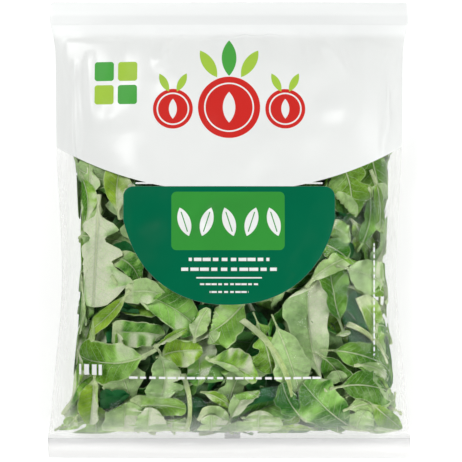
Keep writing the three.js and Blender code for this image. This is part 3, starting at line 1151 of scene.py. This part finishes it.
# Leaf colour, veins and relief, from the leaf's own map and marks.
def leafSkin():
    group, ins, outs = newGroup("leaf skin", {**{key: black for key in leafFinish}, "ribs": 1.0},
                                {"colour": black, "height": 0.0, "glow": black})
    look = leafLook
    uv = makeNode(group, "UVMap", uv_map="leafMap").outputs["UV"]
    point = makeNode(group, "TexCoord").outputs["Object"]

    def mark(name):
        return makeNode(group, "Attribute", attribute_name=name).outputs["Fac"]

    # the midrib, side veins that slant forward, the net between them and the petiole
    u, v, _ = splitPoint(uv)
    across = unsigned(scaled(u, 2.0, -1.0))
    stray = scaled(noise(point, 90), 0.16, -0.08)
    slant = plus(scaled(across, -0.17, v), times(stray, 0.35))
    branch = maths("FRACT", times(slant, look["branches"]))
    veins = ramp(unsigned(minus(branch, 0.5)), 0.07, 0.0)
    veins = times(veins, ramp(across, 0.95, 0.35, 0.15, 0.7))
    ribWidth = scaled(v, -0.1, 0.15)
    rib = ramp(across, ribWidth, times(ribWidth, 0.4))
    petiole = ramp(v, 0.24, 0.14)
    cells = makeNode(group, "TexVoronoi", {"Scale": look["netScale"], "Vector": point},
                     feature="DISTANCE_TO_EDGE")
    net = ramp(cells.outputs["Distance"], 0.12, 0.0)
    # painted shade: a darker band beside the midrib
    paintedRibShade = times(ramp(across, 0.3, 0.1, 0.0, 0.2), ins["ribs"])
    lines = larger(times(larger(rib, veins), ins["ribs"]), petiole, clamp=True)

    blotch = noise(point, 30, 3)
    speck = noise(point, 260, 3, 0.6)
    pale = plus(mark("pale"), scaled(blotch, 2.4, -1.2))
    # painted highlight: a thin paler line along the sides and the far end of each leaf
    rim = larger(ramp(across, .92, .985), ramp(v, .975, .995))
    # darker blotches and specks, fewer on the palest leaves
    bold = ramp(pale, 0.9, 2.3, 1.0, 0.3)
    shadow = ramp(noise(point, 48, 3), .42, .7, 0, .5)
    base = ins["upper"]
    for key, share in (
            ("light", ramp(pale, -0.85, 1.85)),
            ("young", times(mark("yellow"), ramp(blotch, .25, .7, .5, 1))),
            ("under", times(mark("under"), look["underShow"])),
            ("palest", ramp(pale, 0.9, 2.3)),
            # painted sheen: silvery pale patches
            ("under", ramp(noise(point, 75, 4, 0.6), .52, .72, 0, .34)),
            ("light", times(net, look["netShow"])),
            # painted shade beside the midrib
            ("upper", paintedRibShade),
            # painted highlight along the edges, in the rib colour
            ("rib", times(rim, ramp(blotch, .4, .65, .15, .65))),
            ("rib", times(lines, look["veinShow"])),
            ("shade", times(shadow, bold)),
            ("shade", times(ramp(speck, .45, .75, 0, .3), bold)),
            # painted shade on leaves deep in the pile
            ("deep", times(mark("inside"), look["paintedDepthShade"]))):
        base = mixColour(share, base, ins[key])
    setInput(outs["colour"], base)
    setInput(outs["glow"], mixColour(0.55, base, ins["young"]))
    height = scaled(lines, -0.8, times(net, -0.25))
    setInput(outs["height"], plus(plus(height, times(speck, 1.6)), times(blotch, 1.2)))
    return group


def leafMaterial(name, skinGroup, ribs=1.0, **colours):
    material, tree = newMaterial(name)
    skin = useGroup(tree, skinGroup, **{**leafFinish, **colours}, ribs=ribs)
    normal = bumpNode(skin["height"], leafLook["bump"])
    blade = makeNode(tree, "BsdfPrincipled", {
        "Base Color": skin["colour"], "Roughness": leafLook["roughness"],
        "Specular IOR Level": leafLook["specular"], "Normal": normal,
    })
    through = makeNode(tree, "BsdfTranslucent", {"Color": skin["glow"], "Normal": normal})
    putSurface(tree, mixShader(leafLook["through"], blade, through))
    return material


# Making the bag

film = filmBlank()
front, back = heightMaps(film)
edges = sideEdges(readPoints(film.data))
print("film blank:", len(film.data.polygons), "faces")

leaves, topOfPile = buildPile(front, back, edges)
print("leaves:", len(leaves))

skinGroup = leafSkin()
kindMaterials = {
    "broad": leafMaterial("broad_leaf", skinGroup),
    "lobed": leafMaterial("lobed_leaf", skinGroup, upper=linear(22, 112, 26)),
    "oval": leafMaterial("oval_leaf", skinGroup, upper=linear(44, 130, 26),
                         light=linear(188, 242, 100)),
    "cut": leafMaterial("cut_leaf", skinGroup, 0.8, upper=linear(34, 122, 32),
                        light=linear(182, 240, 124)),
    "stem": leafMaterial("leaf_stem", skinGroup, 0.0, upper=leafLook["stem"],
                         light=leafFinish["rib"]),
}
for kind, material in kindMaterials.items():
    group = [leaf for leaf in leaves if leaf["model"]["kind"] == kind]
    piece = joinLeaves(kind + "_leaves", group, material)
    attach(piece, "root")
    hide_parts("bag")
    print(piece.name, len(group), "leaves,", len(piece.data.polygons) * 2, "triangles")


# A map raised to the highest value within so many cells.
def dilateMap(heights, cells):
    result = heights.copy()
    for _ in range(cells):
        padded = np.pad(result, 1, mode="edge")
        for rowShift in (0, 1, 2):
            for columnShift in (0, 1, 2):
                part = padded[rowShift:rowShift + len(mapY), columnShift:columnShift + len(mapX)]
                result = np.maximum(result, part)
    return result


# Crinkles at the sides and beside the seals, and the single creases.
def foldHeight(x, y, atSide, atSeal):
    warp = 6 * mm * waveNoise(x, y, 40 * mm, 40 * mm, 3)
    ridge = waveNoise(x + warp, y, filmLook["foldSpacing"], filmLook["foldLength"], 5)
    ridge = 1 - 2 * np.sqrt(np.abs(ridge) + 0.02)
    crinkle = 1 - 2 * np.abs(waveNoise(x + warp, y + warp, 13 * mm, 22 * mm, 9))
    folds = filmLook["foldDepth"] * ridge * np.clip(atSide + atSeal, 0, 1)
    for x0, y0, x1, y1, wide, tall in filmCreases:
        start, run = np.array([x0, y0]) * mm, np.array([x1 - x0, y1 - y0]) * mm
        share = ((x - start[0]) * run[0] + (y - start[1]) * run[1]) / (run @ run)
        off = ((x - start[0]) * run[1] - (y - start[1]) * run[0]) / math.sqrt(run @ run)
        crest = np.maximum(1 - np.abs(off) / (wide * mm), 0) ** 1.3
        folds = folds + tall * mm * crest * softStep(-.15, .2, share) * softStep(1.15, .8, share)
    return folds + filmLook["crinkleDepth"] * crinkle * (0.35 + 0.65 * atSide)


# The front sinks a little towards low-lying leaves, and folds run lengthwise at the sides
# and beside the seals. The back stays flat but for a raised line over its seam.
def shapeFilm(piece):
    points = readPoints(piece.data)
    x, y, z = points.T
    frontHeight, backHeight = readMap(front, x, y), readMap(back, x, y)
    isFront = softStep(0.35, 0.65, (z - backHeight) / np.maximum(frontHeight - backHeight, 1e-5))
    room = softStep(3 * mm, 14 * mm, frontHeight - backHeight)
    fromSeal = np.minimum(y - pouchFrom, pouchTo - y)
    pouch = softStep(0, 6 * mm, fromSeal)

    # how far the film may sink before it touches a leaf, a little way round each leaf too
    clear = np.where(topOfPile < 0, 3.5 * mm, front - topOfPile)
    lowBy = np.clip(clear - pile["filmGap"], -1 * mm, filmLook["sinkMost"] * 1.6)
    clear = blurMap(-dilateMap(-clear, 5), 2 * mm) - 0.8 * mm
    clear = np.maximum(clear, -0.9 * mm)
    sink = np.minimum(blurMap(lowBy, 5 * mm) * filmLook["sinkShare"], filmLook["sinkMost"])
    sink = readMap(blurMap(np.minimum(sink, clear), 3 * mm), x, y)
    atSide = softStep(0.78, 0.94, np.abs(x) / np.interp(y, edges[0], edges[2]))
    folds = foldHeight(x, y, atSide, softStep(filmLook["sealReach"], 0, fromSeal))
    shift = folds * (isFront + 0.4 * (1 - isFront) * softStep(2 * mm, 9 * mm, z)) * pouch * room
    points = points + readNormals(piece.data) * shift[:, None]
    points[:, 2] -= sink * (1 - 0.7 * atSide) * isFront * pouch * room
    # no fold comes below the leaves
    lowest = readMap(front - clear, points[:, 0], points[:, 1])
    points[:, 2] = np.where(isFront > 0.6, np.maximum(points[:, 2], lowest), points[:, 2])
    seam = softStep(filmLook["seamHalf"] + 2 * mm, filmLook["seamHalf"] - 1 * mm, np.abs(x))
    points[:, 2] += filmLook["seamLift"] * seam * (1 - isFront) * pouch
    points[:, 2] = np.maximum(points[:, 2], 0.05 * mm)
    writePoints(piece.data, points)
    return isFront


isFront = shapeFilm(film)
filmSkinGroup = filmSkin()
backInk, haze = backPrint(), filmFinish["haze"]
film.data.materials.append(filmMaterial("printed_front", frontPrint(), filmSkinGroup, haze))
film.data.materials.append(filmMaterial("clear_back", backInk, filmSkinGroup, haze))
for face in film.data.polygons:
    share = sum(isFront[i] for i in face.vertices) / len(face.vertices)
    face.material_index = 0 if share > 0.5 else 1
makeActive(film)
bpy.ops.object.shade_smooth()
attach(film, "root")
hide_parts("bag")
print("film:", len(film.data.polygons) * 2, "triangles")

seamLook = {
    "width": 11 * mm,
    "thickness": 0.16 * mm,
    "height": 0.2 * mm,  # above the table
    "cuts": 40,
    "aside": 2 * mm,  # from the bag's middle line, with a slow sway
    "sway": 0.5 * mm,
    "swayLength": 37 * mm,
}


# The back's lengthwise seam: a strip of film folded over flat, just above the table.
def backSeam():
    look = seamLook
    clearSelection()
    bpy.ops.mesh.primitive_cube_add(
        size=1, location=(0, (pouchTo + pouchFrom) / 2, look["height"]),
        scale=(look["width"], pouchTo - pouchFrom, look["thickness"]))
    seam = bpy.context.active_object
    seam.name = "back_seam"
    bpy.ops.object.transform_apply(location=True, rotation=True, scale=True)
    inEditMode(seam, bpy.ops.mesh.subdivide, number_cuts=look["cuts"])
    points = readPoints(seam.data)
    points[:, 2] += np.maximum(readMap(back, points[:, 0], points[:, 1]), 0)
    points[:, 0] += look["sway"] * np.sin(points[:, 1] / look["swayLength"]) + look["aside"]
    writePoints(seam.data, points)
    return seam


seam = backSeam()
seam.data.materials.append(filmMaterial("seam_film", backInk, filmSkinGroup,
                                        filmFinish["seamHaze"]))
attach(seam, "root")
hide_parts("bag")
print("seam:", len(seam.data.polygons) * 2, "triangles")


# Stage, lights and camera

stage = {
    "floorSize": 8.0,
    "floorDepth": -0.3 * mm,
    "floorColour": (0.5, 0.5, 0.5, 1),
    "floorRoughness": 0.7,
    "floorSpecular": 0.1,
    "floorGlow": 0.6,
    "world": 0.36,
    "zenith": 0.08,
}
# place, width, height and power of each light
softBoxes = {
    "key": ((-0.85, 0.95, 1.1), 0.6, 0.6, 16.5),
    "fill": ((1.2, -0.1, 0.8), 0.4, 1.0, 11.5),
    "rim": ((0.0, -1.3, 0.8), 1.2, 0.4, 10),
}
cameraLook = {"distance": 1.6, "aimHeight": 20 * mm, "frameWidth": 317 * mm, "sensor": 36.0,
              "shift": (1.3 * mm, -0.6 * mm)}

clearSelection()
bpy.ops.mesh.primitive_plane_add(size=stage["floorSize"], location=(0, 0, stage["floorDepth"]))
table = bpy.context.active_object
table.name = "table_top"
tableMaterial, tree = newMaterial("pale_table")
putSurface(tree, makeNode(tree, "BsdfPrincipled", {
    "Base Color": stage["floorColour"], "Roughness": stage["floorRoughness"],
    "Specular IOR Level": stage["floorSpecular"], "Emission Color": white,
    "Emission Strength": stage["floorGlow"],
}))
table.data.materials.append(tableMaterial)

# a plain world, a little darker straight above so that the film doesn't mirror it
world = bpy.data.worlds.new("studio")
bpy.context.scene.world = world
world.use_nodes = True
tree = world.node_tree
tree.nodes.clear()
_, _, up = splitPoint(makeNode(tree, "TexCoord").outputs["Generated"])
shade = ramp(up, 0.35, 0.95, stage["world"], stage["zenith"])
background = makeNode(tree, "Background", {"Color": white, "Strength": shade})
makeNode(tree, "OutputWorld", {"Surface": background.outputs[0]})

for name, (place, width, height, power) in softBoxes.items():
    data = bpy.data.lights.new(name, "AREA")
    data.shape = "RECTANGLE"
    data.size, data.size_y, data.energy = width, height, power
    light = addObject(name, data)
    light.location = place
    light.rotation_euler = (-Vector(place)).to_track_quat("-Z", "Y").to_euler()

camera = addObject("camera", bpy.data.cameras.new("camera"))
camera.location = (*cameraLook["shift"], cameraLook["aimHeight"] + cameraLook["distance"])
camera.data.sensor_width = cameraLook["sensor"]
camera.data.lens = cameraLook["sensor"] * cameraLook["distance"] / cameraLook["frameWidth"]
camera.data.clip_start, camera.data.clip_end = 0.05, 20
bpy.context.scene.camera = camera
bpy.context.scene.view_settings.view_transform = "Standard"
